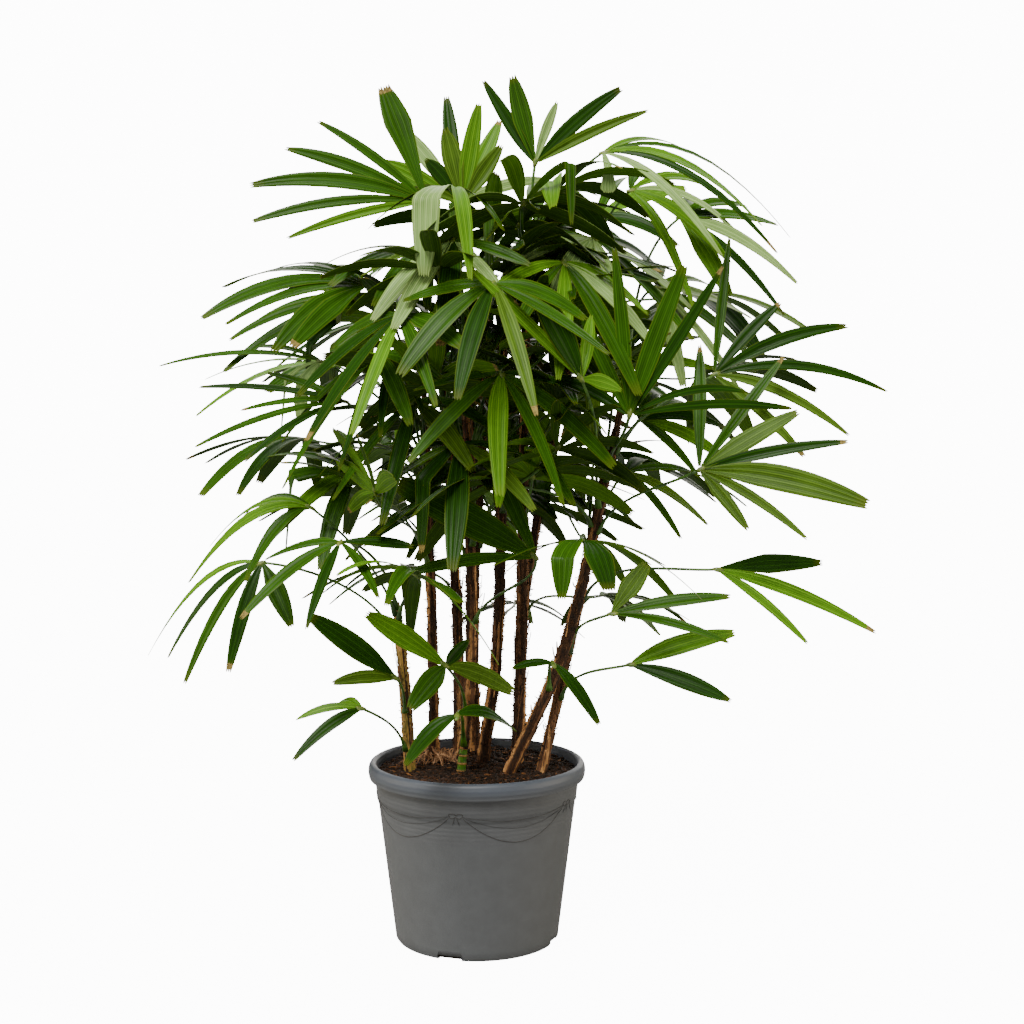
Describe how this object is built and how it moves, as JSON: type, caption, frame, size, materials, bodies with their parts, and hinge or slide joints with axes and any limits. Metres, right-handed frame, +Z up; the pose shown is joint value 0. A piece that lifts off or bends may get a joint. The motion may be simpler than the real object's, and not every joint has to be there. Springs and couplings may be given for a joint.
{
  "type": "potted lady palm",
  "caption": "Tall multi-stemmed palm with fans of long ribbed leaflets on slim stalks, growing from soil in a tapered grey plastic pot.",
  "frame": {"origin": "centre of the pot's flat underside", "axes": "+Z up the plant, -Y towards the side the picture shows, +X to the right in it"},
  "size_m": [1.1363, 1.0402, 1.3347],
  "materials": {
    "pot_plastic": "matte moulded slate-grey polypropylene, scuffed",
    "peat": "moist dark peat with bark crumbs",
    "cane_sheath": "matted brown leaf-sheath fibre",
    "leaf": "deep green ribbed leaf, satin"
  },
  "bodies": {
    "root": {"pot": "pot_plastic", "soil": "peat", "cane_a": "cane_sheath", "cane_b": "cane_sheath", "cane_c": "cane_sheath", "cane_d": "cane_sheath", "cane_e": "cane_sheath", "cane_f": "cane_sheath", "cane_g": "cane_sheath", "cane_h": "cane_sheath", "cane_i": "cane_sheath", "cane_j": "cane_sheath", "frond_back_1": "leaf", "frond_back_2": "leaf", "frond_back_3": "leaf", "frond_back_4": "leaf", "frond_back_5": "leaf", "frond_back_6": "leaf", "frond_back_7": "leaf", "frond_back_8": "leaf", "frond_back_9": "leaf", "frond_back_10": "leaf", "frond_back_11": "leaf", "frond_left_1": "leaf", "frond_left_2": "leaf", "frond_left_3": "leaf", "frond_left_4": "leaf", "frond_left_5": "leaf", "frond_left_6": "leaf", "frond_left_7": "leaf", "frond_left_8": "leaf", "frond_left_9": "leaf", "frond_left_10": "leaf", "frond_low_1": "leaf", "frond_low_2": "leaf", "frond_low_3": "leaf", "frond_low_4": "leaf", "frond_low_5": "leaf", "frond_middle_1": "leaf", "frond_middle_2": "leaf", "frond_middle_3": "leaf", "frond_middle_4": "leaf", "frond_middle_5": "leaf", "frond_middle_6": "leaf", "frond_right_1": "leaf", "frond_right_2": "leaf", "frond_right_3": "leaf", "frond_right_4": "leaf", "frond_right_5": "leaf", "frond_right_6": "leaf", "frond_right_7": "leaf", "frond_top_1": "leaf", "frond_top_2": "leaf", "frond_top_3": "leaf", "frond_top_4": "leaf", "frond_top_5": "leaf", "frond_top_6": "leaf", "frond_top_7": "leaf", "frond_top_8": "leaf", "frond_top_9": "leaf"}
  },
  "joints": []
}
